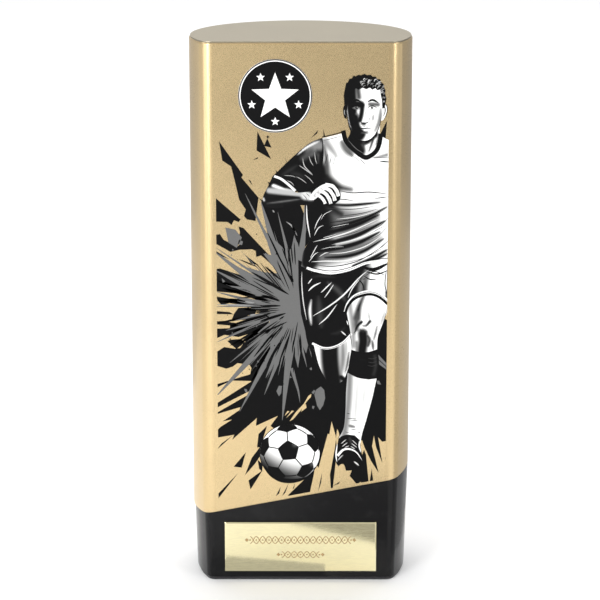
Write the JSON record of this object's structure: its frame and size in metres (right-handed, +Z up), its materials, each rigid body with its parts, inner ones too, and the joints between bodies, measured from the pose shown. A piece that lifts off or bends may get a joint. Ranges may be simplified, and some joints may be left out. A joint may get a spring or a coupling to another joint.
{
  "type": "figure trophy",
  "caption": "Tube award: gold D-section tube with a printed sports figure on its flat front, flush cap, slanted black base and engraving plate.",
  "frame": {"origin": "on the table, under the middle of the award's bounding box", "axes": "+Z up the tube, -Y out of the printed front, +X to the right as seen from the front"},
  "size_m": [0.088, 0.0678, 0.22],
  "materials": {
    "gold_tube": "satin gold anodised extrusion",
    "cap": "matte champagne moulding",
    "insert_brass": "machined",
    "zinc_steel": "bright zinc plated",
    "base_plastic": "semi-gloss black moulding",
    "ballast_iron": "as cast",
    "cover_plastic": "matte black",
    "felt": "pressed wool felt",
    "adhesive": "double-sided tape",
    "panel": "satin gold sheet with printed artwork",
    "badge": "printed disc",
    "plate": "polished, bevelled edge"
  },
  "bodies": {
    "root": {"tube_shell": "gold_tube", "top_cap": "cap", "cap_insert": "insert_brass", "tie_rod": "zinc_steel", "deck_washer": "zinc_steel", "lock_washer": "zinc_steel", "rod_nut": "zinc_steel", "base_shell": "base_plastic", "ballast_weight": "ballast_iron", "ballast_washers": "zinc_steel", "ballast_screws": "zinc_steel", "bottom_cover": "cover_plastic", "cover_screws": "zinc_steel", "felt_pad": "felt", "panel_adhesive": "adhesive", "graphic_panel": "panel", "badge_adhesive": "adhesive", "badge_disc": "badge", "plate_adhesive": "adhesive", "engraving_plate": "plate"}
  },
  "joints": []
}
